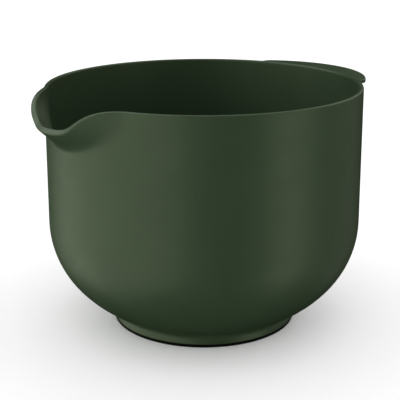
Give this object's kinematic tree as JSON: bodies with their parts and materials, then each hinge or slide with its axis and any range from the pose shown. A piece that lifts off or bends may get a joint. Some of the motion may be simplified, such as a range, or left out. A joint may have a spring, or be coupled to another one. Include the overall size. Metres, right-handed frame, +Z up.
{
  "type": "mixing bowl",
  "caption": "Round mixing bowl with a dipped pouring spout, a flat thumb grip opposite it and a non-slip ring pressed into its foot.",
  "frame": {"origin": "on the bowl's axis, in the plane that the non-slip ring stands on", "axes": "+X towards the pouring spout, -X towards the thumb grip, +Z up"},
  "size_m": [0.231, 0.2, 0.154],
  "materials": {
    "bowl_green": "matte",
    "ring_black": "matte"
  },
  "bodies": {
    "bowl": {"bowl_body": "bowl_green"},
    "ring": {"non_slip_ring": "ring_black"}
  },
  "joints": [
    {"name": "ring_pull_off", "type": "slide", "parent": "bowl", "child": "ring", "axis": [0, 0, -1], "range_m": [0, 0.03]}
  ]
}
